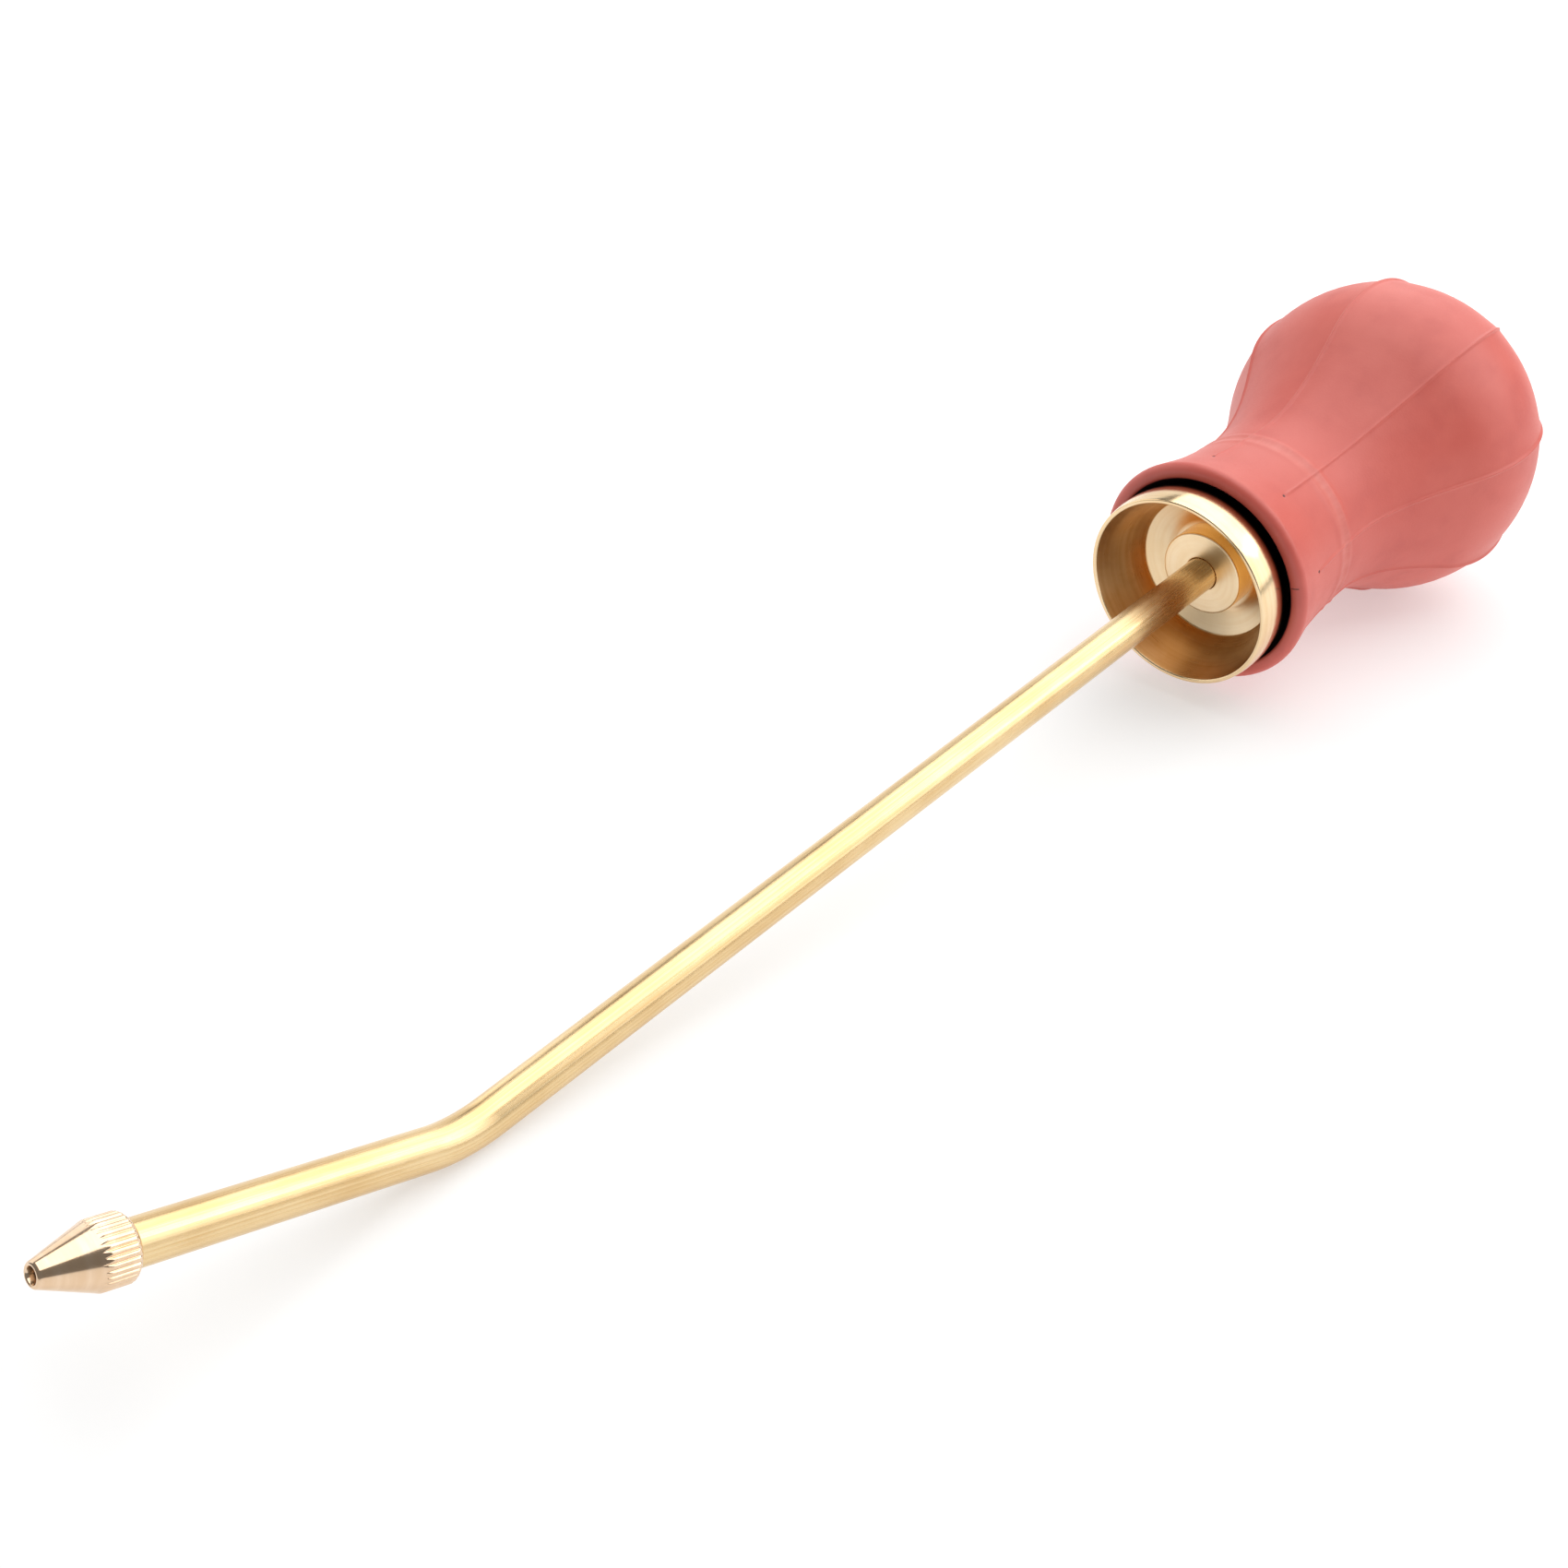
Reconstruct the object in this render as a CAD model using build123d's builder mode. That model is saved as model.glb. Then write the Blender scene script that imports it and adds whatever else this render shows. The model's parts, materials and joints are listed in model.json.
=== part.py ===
from build123d import *
from math import asin, atan2, cos, degrees, hypot, radians, sin, sqrt, tan
import os

os.makedirs("parts", exist_ok=True)

# Hand dust blower: a rubber bulb on a turned brass cup, a brass tube with one elbow, and a
# screwed nozzle. Everything is drawn along the tool's own axis, x = 0 at the cup's rim and
# x growing towards the nozzle, and the tool lies on its bulb and its elbow on the plane Z = 0.

# ---- rubber bulb ----
bulb_radius = 30.9
bulb_half_length = 27.6        # half the bulb's length along the axis
bulb_centre = 71.2             # from the cup's rim back to the widest section
bulb_wall = 2.6
bulb_joins_at = 63.0           # degrees round the ellipse where the neck's curve takes over
rib_count = 8
rib_height = 0.8
rib_spread = 2.0               # degrees of the bulb's girth that one rib covers
rib_from_bottom = 10.0         # degrees from the lowest line of the bulb to the nearest rib
rib_root = 0.4                 # how deep a rib is rooted in the wall
rib_start = 18.5               # from the cup's rim back to the ribs' front ends
waist_radius = 18.5
waist_at = 33.0
neck_mid_radius = 19.6
neck_mid_at = 19.0
mouth_at = 7.9
mouth_radius = 19.2
mouth_throat_at = 13.2         # from the cup's rim back to where the rubber grips the barrel
lip_face = 1.2
lip_round = 1.25
lip_turn = 100.0               # degrees that the lip's round turns through
neck_ring_at = 28.0
neck_ring_radius = 0.9
neck_ring_centre = 18.15       # radius of the ring's own centre line

# ---- brass cup ----
cup_rim_radius = 18.6
cup_lip = 0.7
cup_lip_round = 0.3
cup_shoulder_radius = 18.75
cup_shoulder_at = 5.0
cup_cone_radius = 14.0
cup_cone_at = 10.6
cup_floor_at = 12.9
cup_floor_wall = 2.0
cup_seat_radius = 8.7
barrel_radius = 15.9
barrel_at = 12.6
barrel_length = 16.4
barrel_wall = 1.3
bead_count = 2
bead_pitch = 6.0
bead_first = 4.5
bead_radius = 0.9
bead_height = 0.45
rubber_fit = 0.02              # rubber round the barrel, as assembled
cutter_over = 1.0              # how far a cutter stands out past what it cuts

# ---- gland ----
hub_radius = 8.2
hub_length = 4.75
hub_edge = 0.35
shank_radius = 4.95
shank_tail = 2.0
gasket_thickness = 1.0
gasket_radius = 7.4
washer_thickness = 0.8
washer_radius = 7.8
nut_height = 4.0
nut_across_flats = 14.0
nut_edge = 0.5
gland_clearance = 0.05
oring_section = 0.6
oring_fit = 0.03
oring_groove_at = 2.4          # from the hub's face to the groove's middle

# ---- tube ----
tube_radius = 3.175
tube_wall = 0.8
elbow_at = 172.5
elbow_angle = 24.2
elbow_bend_radius = 28.0
tube_fit = 0.05                # tube turning in the bush, radial
tube_tail = 2.0                # tube behind its clip
thrust_thickness = 0.6
thrust_radius = 5.2
clip_thickness = 0.8
clip_radius = 5.0
clip_groove_depth = 0.35
clip_opening = 3.4
axial_play = 0.05

# ---- nozzle ----
nozzle_back_at = 52.7          # from the elbow's corner along the bent leg
collar_radius = 4.55
collar_length = 4.4
collar_chamfer = 0.55
cone_length = 8.1
tip_radius = 1.65
tip_edge = 0.2
outlet_radius = 1.15
outlet_length = 3.2
engagement = 5.0
seal_thickness = 0.75
seal_bore = 2.3
seal_clearance = 0.03
funnel_radius = 2.3
knurl_teeth = 32
knurl_depth = 0.38
knurl_width = 0.85             # share of each tooth's pitch that its groove takes
knurl_over = 0.1               # how far the groove's cutter stands out of the collar

# ---- inlet valve ----
pole_flat_radius = 6.6
valve_flange_radius = 6.2
valve_flange_thickness = 1.3
valve_flange_edge = 0.4
valve_neck_radius = 4.2
valve_inner_radius = 5.4
valve_inner_length = 3.0
inlet_radius = 1.5
seat_length = 2.2
chamber_radius = 3.3
disc_radius = 2.4
disc_thickness = 0.7
disc_lift = 0.6
cage_thickness = 1.0
cage_notch_radius = 0.6
cage_notch_circle = 2.95
cage_notch_count = 6
cage_fit = 0.01

# ---- how it lies ----
bulb_reach = max(
    bulb_radius,
    (bulb_radius + rib_height) * cos(radians(rib_from_bottom - rib_spread / 2)),
)
elbow_tangent = elbow_bend_radius * tan(radians(elbow_angle / 2))
bend_starts = elbow_at - elbow_tangent
contact_span = bend_starts + bulb_centre
contact_drop = bulb_reach - tube_radius - elbow_bend_radius
lean = atan2(elbow_bend_radius, contact_span) + asin(
    contact_drop / hypot(contact_span, elbow_bend_radius)
)

axis_dir = Vector(cos(lean), 0, -sin(lean))
rise_dir = Vector(sin(lean), 0, cos(lean))
side_dir = axis_dir.cross(rise_dir)
bulb_middle = Vector(0, 0, bulb_reach)
rim_centre = bulb_middle + axis_dir * bulb_centre
tool = Plane(origin=rim_centre, x_dir=axis_dir, z_dir=side_dir)
tool_axis = Axis(rim_centre, axis_dir)

elbow_corner = rim_centre + axis_dir * elbow_at
leg_dir = axis_dir * cos(radians(elbow_angle)) + rise_dir * sin(radians(elbow_angle))
leg = Plane(origin=elbow_corner, x_dir=leg_dir, z_dir=side_dir)
leg_axis = Axis(elbow_corner, leg_dir)


def section(plane, start, end, inner, outer):
    """Rectangle between two stations and two radii, drawn beside a plane's x axis."""
    with BuildSketch(plane) as cut:
        with Locations(((start + end) / 2, (inner + outer) / 2)):
            Rectangle(abs(end - start), outer - inner)
    return cut.sketch


def save(piece, name):
    """Label a finished piece and write it."""
    piece.part.label = name
    export_step(piece.part, f"parts/{name}.step")


def bulb_curve(inset):
    """Outline from the waist to the flat at the far pole, moved in by inset."""
    long_radius = bulb_half_length - inset
    wide_radius = bulb_radius - inset
    ends_at = 180 - degrees(asin(pole_flat_radius / wide_radius))
    body = EllipticalCenterArc(
        (-bulb_centre, 0),
        long_radius,
        wide_radius,
        start_angle=bulb_joins_at,
        arc_size=ends_at - bulb_joins_at,
    )
    flank = Spline((-waist_at, waist_radius - inset), body @ 0, tangents=((-1, 0), body % 0))
    return flank, body


barrel_back = barrel_at + barrel_length
hub_face_at = cup_floor_at - hub_length
gasket_at = cup_floor_at + cup_floor_wall
washer_at = gasket_at + gasket_thickness
nut_at = washer_at + washer_thickness
shank_back = nut_at + nut_height + shank_tail
thrust_at = shank_back + axial_play
clip_at = thrust_at + thrust_thickness + axial_play
tube_back = clip_at + clip_thickness + tube_tail
tube_front = nozzle_back_at + engagement
bead_stations = [barrel_at + bead_first + index * bead_pitch for index in range(bead_count)]
bead_centre_radius = barrel_radius + bead_height - bead_radius

# ---- rubber bulb ----
with BuildPart() as rubber_bulb:
    with BuildSketch(tool):
        with BuildLine():
            flank, body = bulb_curve(0)
            face_line = Line((-mouth_at, 0), (-mouth_at, mouth_radius + lip_face))
            lip = JernArc(face_line @ 1, (0, 1), lip_round, lip_turn)
            neck_mid = (-neck_mid_at, neck_mid_radius)
            Spline(lip @ 1, neck_mid, flank @ 0, tangents=(lip % 1, (-1, 0)))
            pole = body @ 1
            Polyline(pole, (pole.X, 0), (-mouth_at, 0))
        make_face()
    revolve(axis=tool_axis)

    # Raised ring on the neck, over the end of the brass barrel.
    with BuildSketch(tool):
        with Locations((-neck_ring_at, neck_ring_centre)):
            Circle(neck_ring_radius)
    revolve(axis=tool_axis)

    # Thin ribs along the meridians, from the neck to the far pole.
    for index in range(rib_count):
        turn = radians(180 + rib_from_bottom + index * 360 / rib_count - rib_spread / 2)
        rib_normal = side_dir * cos(turn) - rise_dir * sin(turn)
        rib_plane = Plane(origin=rim_centre, x_dir=axis_dir, z_dir=rib_normal)
        with BuildSketch(rib_plane):
            with BuildLine():
                low_flank, low_body = bulb_curve(rib_root)
                high_flank, high_body = bulb_curve(-rib_height)
                rib_foot = (-rib_start, neck_mid_radius - rib_root)
                Polyline(low_flank @ 0, rib_foot, high_flank @ 0)
                Line(low_body @ 1, high_body @ 1)
            make_face()
        revolve(axis=tool_axis, revolution_arc=rib_spread)

    # Chamber, barrel bore and flared mouth.
    bore_radius = barrel_radius + rubber_fit
    with BuildSketch(tool):
        with BuildLine():
            inner_flank, inner_body = bulb_curve(bulb_wall)
            inner_pole = inner_body @ 1
            Polyline(
                inner_flank @ 0,
                (-barrel_back, bore_radius),
                (-mouth_throat_at, bore_radius),
                (-mouth_at, mouth_radius),
                (-mouth_at + cutter_over, mouth_radius),
                (-mouth_at + cutter_over, 0),
                (inner_pole.X, 0),
                inner_pole,
            )
        make_face()
    revolve(axis=tool_axis, mode=Mode.SUBTRACT)

    # Grooves that the barrel's beads press into.
    with BuildSketch(tool):
        with Locations([(-station, bead_centre_radius) for station in bead_stations]):
            Circle(bead_radius + rubber_fit)
    revolve(axis=tool_axis, mode=Mode.SUBTRACT)

    # Hole for the inlet valve at the far pole.
    add(section(tool, pole.X - cutter_over, inner_pole.X + cutter_over, 0, valve_neck_radius))
    revolve(axis=tool_axis, mode=Mode.SUBTRACT)
save(rubber_bulb, "rubber_bulb")

# ---- brass cup ----
with BuildPart() as stopper_cup:
    shank_hole = shank_radius + gland_clearance
    skirt_radius = barrel_radius - barrel_wall
    with BuildSketch(tool):
        with BuildLine():
            ThreePointArc(
                (0, cup_rim_radius),
                (-cup_shoulder_at, cup_shoulder_radius),
                (-barrel_at, barrel_radius),
            )
            Polyline(
                (-barrel_at, barrel_radius),
                (-barrel_back, barrel_radius),
                (-barrel_back, skirt_radius),
                (-gasket_at, skirt_radius),
                (-gasket_at, shank_hole),
                (-cup_floor_at, shank_hole),
                (-cup_floor_at, cup_seat_radius),
                (-cup_cone_at, cup_cone_radius),
                (0, cup_rim_radius - cup_lip),
                (0, cup_rim_radius),
            )
        make_face()
    revolve(axis=tool_axis)
    with BuildSketch(tool):
        with Locations([(-station, bead_centre_radius) for station in bead_stations]):
            Circle(bead_radius)
    revolve(axis=tool_axis)
    rim_edges = stopper_cup.edges().filter_by(GeomType.CIRCLE).sort_by(tool_axis)[-2:]
    fillet(rim_edges, cup_lip_round)
save(stopper_cup, "stopper_cup")

# ---- gland: bush, seal, gasket, washer and nut ----
bush_bore = tube_radius + tube_fit
with BuildPart() as gland_bush:
    with BuildSketch(tool):
        with BuildLine():
            Polyline(
                (-hub_face_at, bush_bore),
                (-hub_face_at, hub_radius - hub_edge),
                (-hub_face_at - hub_edge, hub_radius),
                (-cup_floor_at, hub_radius),
                (-cup_floor_at, shank_radius),
                (-shank_back, shank_radius),
                (-shank_back, bush_bore),
                close=True,
            )
        make_face()
    revolve(axis=tool_axis)
    groove_middle = hub_face_at + oring_groove_at
    groove_half = oring_section + gland_clearance
    groove_radius = tube_radius + oring_fit + 2 * oring_section + gland_clearance
    add(section(tool, -groove_middle - groove_half, -groove_middle + groove_half, 0, groove_radius))
    revolve(axis=tool_axis, mode=Mode.SUBTRACT)
save(gland_bush, "gland_bush")

with BuildPart() as gland_oring:
    with BuildSketch(tool):
        with Locations((-groove_middle, tube_radius + oring_fit + oring_section)):
            Circle(oring_section)
    revolve(axis=tool_axis)
save(gland_oring, "gland_oring")

with BuildPart() as gland_gasket:
    add(section(tool, -washer_at, -gasket_at, shank_hole, gasket_radius))
    revolve(axis=tool_axis)
save(gland_gasket, "gland_gasket")

with BuildPart() as gland_washer:
    add(section(tool, -nut_at, -washer_at, shank_hole, washer_radius))
    revolve(axis=tool_axis)
save(gland_washer, "gland_washer")

with BuildPart() as gland_nut:
    nut_face = Plane(origin=rim_centre - axis_dir * nut_at, x_dir=(0, 1, 0), z_dir=-axis_dir)
    with BuildSketch(nut_face):
        RegularPolygon(nut_across_flats / 2, 6, major_radius=False)
        Circle(shank_hole, mode=Mode.SUBTRACT)
    extrude(amount=nut_height)
    nut_corner = nut_across_flats / sqrt(3)
    with BuildSketch(tool):
        with BuildLine():
            Polyline(
                (-nut_at - nut_height, nut_across_flats / 2),
                (-nut_at - nut_height, nut_corner + nut_edge),
                (-nut_at - nut_height + nut_edge, nut_corner + nut_edge),
                close=True,
            )
        make_face()
    revolve(axis=tool_axis, mode=Mode.SUBTRACT)
save(gland_nut, "gland_nut")

# ---- tube, with the washer and clip behind the gland ----
with BuildPart() as tube:
    with BuildLine(tool) as route:
        FilletPolyline(
            (-tube_back, 0),
            (elbow_at, 0),
            (
                elbow_at + tube_front * cos(radians(elbow_angle)),
                tube_front * sin(radians(elbow_angle)),
            ),
            radius=elbow_bend_radius,
        )
    with BuildSketch(Plane(origin=route.line @ 0, z_dir=route.line % 0)):
        Circle(tube_radius)
        Circle(tube_radius - tube_wall, mode=Mode.SUBTRACT)
    sweep(path=route.line)
    clip_seat_radius = tube_radius - clip_groove_depth
    groove_back = clip_at + clip_thickness + axial_play
    clip_groove_outer = tube_radius + cutter_over
    add(section(tool, -groove_back, -clip_at + axial_play, clip_seat_radius, clip_groove_outer))
    revolve(axis=tool_axis, mode=Mode.SUBTRACT)
save(tube, "tube")

with BuildPart() as thrust_washer:
    add(section(tool, -thrust_at - thrust_thickness, -thrust_at, bush_bore, thrust_radius))
    revolve(axis=tool_axis)
save(thrust_washer, "thrust_washer")

with BuildPart() as tube_clip:
    clip_face = Plane(origin=rim_centre - axis_dir * clip_at, x_dir=(0, 1, 0), z_dir=-axis_dir)
    with BuildSketch(clip_face):
        Circle(clip_radius)
        Circle(clip_seat_radius + gland_clearance, mode=Mode.SUBTRACT)
        with Locations((0, -clip_radius)):
            Rectangle(clip_opening, 2 * clip_radius, mode=Mode.SUBTRACT)
    extrude(amount=clip_thickness)
save(tube_clip, "tube_clip")

# ---- nozzle and its seal ----
step_at = tube_front + seal_clearance + seal_thickness
cone_at = nozzle_back_at + collar_length
tip_at = cone_at + cone_length
with BuildPart() as nozzle:
    nozzle_bore = tube_radius + tube_fit
    with BuildSketch(leg):
        with BuildLine():
            Polyline(
                (nozzle_back_at, nozzle_bore),
                (nozzle_back_at, collar_radius - collar_chamfer),
                (nozzle_back_at + collar_chamfer, collar_radius),
                (cone_at, collar_radius),
                (tip_at - tip_edge, tip_radius),
                (tip_at, tip_radius - tip_edge),
                (tip_at, outlet_radius),
                (tip_at - outlet_length, outlet_radius),
                (step_at, funnel_radius),
                (step_at, nozzle_bore),
                close=True,
            )
        make_face()
    revolve(axis=leg_axis)

    # Straight knurl: V grooves along the collar, run out by the cone.
    knurl_face = Plane(origin=elbow_corner + leg_dir * nozzle_back_at, x_dir=(0, 1, 0), z_dir=leg_dir)
    groove_half_width = knurl_width * collar_radius * sin(radians(180 / knurl_teeth))
    with BuildSketch(knurl_face):
        with PolarLocations(collar_radius, knurl_teeth):
            with BuildLine():
                Polyline(
                    (-knurl_depth, 0),
                    (knurl_over, groove_half_width),
                    (knurl_over, -groove_half_width),
                    close=True,
                )
            make_face()
    extrude(amount=collar_length + cone_length / 2, mode=Mode.SUBTRACT)
save(nozzle, "nozzle")

with BuildPart() as nozzle_seal:
    add(section(leg, step_at - seal_thickness, step_at, seal_bore, tube_radius))
    revolve(axis=leg_axis)
save(nozzle_seal, "nozzle_seal")

# ---- inlet valve in the far pole ----
flange_back = pole.X - valve_flange_thickness
inner_front = inner_pole.X + valve_inner_length
seat_at = flange_back + seat_length
disc_front = seat_at + disc_thickness
cage_at = disc_front + disc_lift
with BuildPart() as valve_body:
    with BuildSketch(tool):
        with BuildLine():
            Polyline(
                (flange_back, inlet_radius),
                (flange_back, valve_flange_radius - valve_flange_edge),
                (flange_back + valve_flange_edge, valve_flange_radius),
                (pole.X, valve_flange_radius),
                (pole.X, valve_neck_radius - rubber_fit),
                (inner_pole.X, valve_neck_radius - rubber_fit),
                (inner_pole.X, valve_inner_radius),
                (inner_front, valve_neck_radius),
                (inner_front, chamber_radius),
                (seat_at, chamber_radius),
                (seat_at, inlet_radius),
                close=True,
            )
        make_face()
    revolve(axis=tool_axis)
save(valve_body, "valve_body")

with BuildPart() as valve_disc:
    add(section(tool, seat_at, disc_front, 0, disc_radius))
    revolve(axis=tool_axis)
save(valve_disc, "valve_disc")

with BuildPart() as valve_cage:
    cage_face = Plane(origin=rim_centre + axis_dir * cage_at, x_dir=(0, 1, 0), z_dir=axis_dir)
    with BuildSketch(cage_face):
        Circle(chamber_radius - cage_fit)
        with PolarLocations(cage_notch_circle, cage_notch_count):
            Circle(cage_notch_radius, mode=Mode.SUBTRACT)
    extrude(amount=cage_thickness)
save(valve_cage, "valve_cage")
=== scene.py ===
import json
import math

import bmesh
import bpy
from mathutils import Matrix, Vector


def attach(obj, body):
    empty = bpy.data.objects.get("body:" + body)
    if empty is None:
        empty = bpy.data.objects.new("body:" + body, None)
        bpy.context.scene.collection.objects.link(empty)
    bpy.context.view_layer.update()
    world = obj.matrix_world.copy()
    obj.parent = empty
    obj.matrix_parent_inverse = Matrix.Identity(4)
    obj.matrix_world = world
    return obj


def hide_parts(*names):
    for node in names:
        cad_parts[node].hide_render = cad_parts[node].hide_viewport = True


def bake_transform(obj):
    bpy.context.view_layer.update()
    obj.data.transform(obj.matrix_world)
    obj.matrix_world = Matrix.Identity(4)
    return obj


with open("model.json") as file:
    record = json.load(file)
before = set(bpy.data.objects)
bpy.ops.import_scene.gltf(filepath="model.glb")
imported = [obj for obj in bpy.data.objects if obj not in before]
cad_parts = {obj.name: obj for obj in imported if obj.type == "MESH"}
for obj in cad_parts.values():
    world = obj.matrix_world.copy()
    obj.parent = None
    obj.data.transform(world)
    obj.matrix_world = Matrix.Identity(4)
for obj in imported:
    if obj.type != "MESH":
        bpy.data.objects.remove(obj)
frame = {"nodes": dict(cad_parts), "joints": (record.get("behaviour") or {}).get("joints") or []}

mm = 0.001
fullTurn = 2 * math.pi
uvLength = 100.0        # one unit of v is this many mm along a lathe outline
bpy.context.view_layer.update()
print("frame loaded:", len(frame["nodes"]), "CAD nodes")

joints = {joint["name"]: joint for joint in frame["joints"]}
sideways = Vector((0, -1, 0))


def makeLine(origin, along):
    along = Vector(along).normalized()
    return {"origin": Vector(origin), "along": along, "up": sideways.cross(along).normalized()}


def onLine(line, x, radius=0.0, turn=0.0):
    # x and radius in mm; turn 0 is the upper side, growing towards -Y
    out = line["up"] * math.cos(turn) + sideways * math.sin(turn)
    return line["origin"] + line["along"] * (x * mm) + out * (radius * mm)


# the tool's own axis, the axis of the bent end, and the corner where they cross
toolLine = makeLine(joints["tube_turn"]["pos_m"], joints["tube_turn"]["axis"])
legPoint = Vector(joints["nozzle_turn"]["pos_m"])
legAlong = Vector(joints["nozzle_turn"]["axis"]).normalized()
legUp = sideways.cross(legAlong)
elbowShift = (legPoint - toolLine["origin"]).dot(legUp) / toolLine["along"].dot(legUp)
elbowCorner = toolLine["origin"] + toolLine["along"] * elbowShift
legLine = makeLine(elbowCorner, legAlong)
elbowAngle = math.acos(max(-1, min(1, toolLine["along"].dot(legAlong))))


class Wire:
    # one socket, with Math nodes behind its operators
    def __init__(self, tree, socket):
        self.tree = tree
        self.socket = socket

    def math(self, operation, *values):
        # with no values given it works on this socket alone
        node = self.tree.nodes.new("ShaderNodeMath")
        node.operation = operation
        for slot, value in enumerate(values or (self,)):
            plug(self.tree, node.inputs[slot], value)
        return Wire(self.tree, node.outputs[0])

    def __add__(self, other): return self.math("ADD", self, other)
    def __radd__(self, other): return self.math("ADD", other, self)
    def __sub__(self, other): return self.math("SUBTRACT", self, other)
    def __rsub__(self, other): return self.math("SUBTRACT", other, self)
    def __mul__(self, other): return self.math("MULTIPLY", self, other)
    def __rmul__(self, other): return self.math("MULTIPLY", other, self)
    def __lt__(self, other): return self.math("LESS_THAN", self, other)
    def __gt__(self, other): return self.math("GREATER_THAN", self, other)
    def __abs__(self): return self.math("ABSOLUTE")


def plug(tree, socket, value):
    if isinstance(value, Wire):
        tree.links.new(value.socket, socket)
    else:
        socket.default_value = value


class Finish:
    # a material with its Principled shader and the one method that makes any other node
    def __init__(self, name):
        self.material = bpy.data.materials.new(name)
        self.material.use_nodes = True
        self.tree = self.material.node_tree
        self.shader = self.tree.nodes["Principled BSDF"]

    def node(self, kind, settings=None, inputs=None, output=0):
        made = self.tree.nodes.new(kind)
        for key, value in (settings or {}).items():
            setattr(made, key, value)
        for key, value in (inputs or {}).items():
            plug(self.tree, made.inputs[key], value)
        return Wire(self.tree, made.outputs[output])

    def uv(self):
        # u is the share of a turn, v the length along the outline
        place = self.node("ShaderNodeUVMap", {"uv_map": "UVMap"})
        u = self.node("ShaderNodeSeparateXYZ", None, {0: place})
        return u, Wire(self.tree, u.socket.node.outputs[1])

    def place(self):
        return self.node("ShaderNodeTexCoord", output="Object")

    def spread(self, x, y, z):
        return self.node("ShaderNodeCombineXYZ", None, {0: x, 1: y, 2: z})

    def noise(self, where, scale, detail=2.0, rough=0.5):
        inputs = {"Vector": where, "Scale": scale, "Detail": detail, "Roughness": rough}
        return self.node("ShaderNodeTexNoise", {"noise_dimensions": "3D"}, inputs)

    def wound(self, u, v, girth, length, detail, rough):
        # noise wrapped round a turned piece, so that it has no seam
        angle = u * fullTurn
        ringX, ringY = angle.math("COSINE"), angle.math("SINE")
        return self.noise(self.spread(ringX * girth, ringY * girth, v * length), 1.0, detail, rough)

    def step(self, value, low, high, start=0.0, end=1.0):
        inputs = {"Value": value, "From Min": low, "From Max": high, "To Min": start, "To Max": end}
        return self.node("ShaderNodeMapRange", {"interpolation_type": "SMOOTHSTEP"}, inputs)

    def blendColour(self, factor, low, high):
        # Mix node sockets: 0 is the factor, 6 and 7 the colours, output 2 the colour
        settings = {"data_type": "RGBA", "clamp_factor": True}
        return self.node("ShaderNodeMix", settings, {0: factor, 6: low, 7: high}, 2)

    def bump(self, height, strength, distance):
        inputs = {"Height": height, "Strength": strength, "Distance": distance}
        return self.node("ShaderNodeBump", None, inputs)

    def set(self, **values):
        for key, value in values.items():
            plug(self.tree, self.shader.inputs[key.replace("_", " ")], value)
        return self.material


def rgb(red, green, blue):
    # screen colour 0-255 to scene-linear
    def linear(value):
        value = value / 255
        return value / 12.92 if value <= 0.04045 else ((value + 0.055) / 1.055) ** 2.4
    return (linear(red), linear(green), linear(blue), 1.0)


turning = {
    # girth, length, detail and roughness of each noise wrapped round the piece
    "ringGirth": 0.25, "ringDetail": 3.0, "ringRough": 0.65,
    "coarse": (0.4, 1.1 * uvLength, 2.0, 0.5),
    "tarnishScale": 95.0, "scuffScale": 900.0, "shade": (0.36, 0.64), "scuffs": (0.62, 0.8),
    "ringGloss": 0.1, "tarnishGloss": 0.12, "scuffGloss": 0.06,
    "relief": 0.16, "reliefHeight": 0.00006, "paintedShadeFade": 2.6,
}


def turnedBrass(name, look, marks, pitch, paintedShade=None):
    # fine lathe rings round the axis, a slow tarnish and a few handling scuffs
    finish = Finish(name)
    u, v = finish.uv()
    ringLength = uvLength * pitch
    rings = finish.wound(u, v, turning["ringGirth"], ringLength, turning["ringDetail"], turning["ringRough"])
    coarse = finish.wound(u, v, *turning["coarse"])
    place = finish.place()
    tarnish = finish.noise(place, turning["tarnishScale"], 4.0, 0.6)
    scuffs = finish.noise(place, turning["scuffScale"], 2.0, 0.7)
    shade = tarnish * 0.55 + coarse * 0.45
    tone = finish.blendColour(finish.step(shade, *turning["shade"]), look["deep"], look["colour"])
    if paintedShade:
        # painted shade: darker between two lengths along the outline, where the piece runs in out of sight,
        # into the rubber mouth on the cup and into the bore behind the tip on the nozzle
        along = v * uvLength
        fade = finish.step(along, paintedShade["from"], paintedShade["from"] + turning["paintedShadeFade"])
        tone = finish.blendColour(fade * (along < paintedShade["upTo"]), tone, paintedShade["colour"])
    rough = look["rough"] + (rings - 0.5) * turning["ringGloss"] + (tarnish - 0.5) * turning["tarnishGloss"]
    rough = rough + finish.step(scuffs, *turning["scuffs"]) * turning["scuffGloss"]
    normal = finish.bump(rings * 0.7 + coarse * 0.3, turning["relief"] * marks, turning["reliefHeight"])
    return finish.set(Base_Color=tone, Metallic=1.0, Roughness=rough, Normal=normal)


drawing = {
    # girth, length, detail and roughness of each noise wrapped round the tube
    "streaks": (9.0, 0.9, 4.0, 0.62), "fine": (30.0, 3.5, 2.0, 0.5),
    "patches": (0.7, 6.0, 4.0, 0.6), "specks": (12.0, 90.0, 2.0, 0.5),
    "seamReflectionLine": (0.001, 0.008), "seamReflectionShade": 0.6, "shade": (0.36, 0.64), "speckled": (0.64, 0.78),
    "fineGloss": 0.16, "patchGloss": 0.16, "speckGloss": 0.08,
    "relief": 0.2, "reliefHeight": 0.00007,
}


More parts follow.
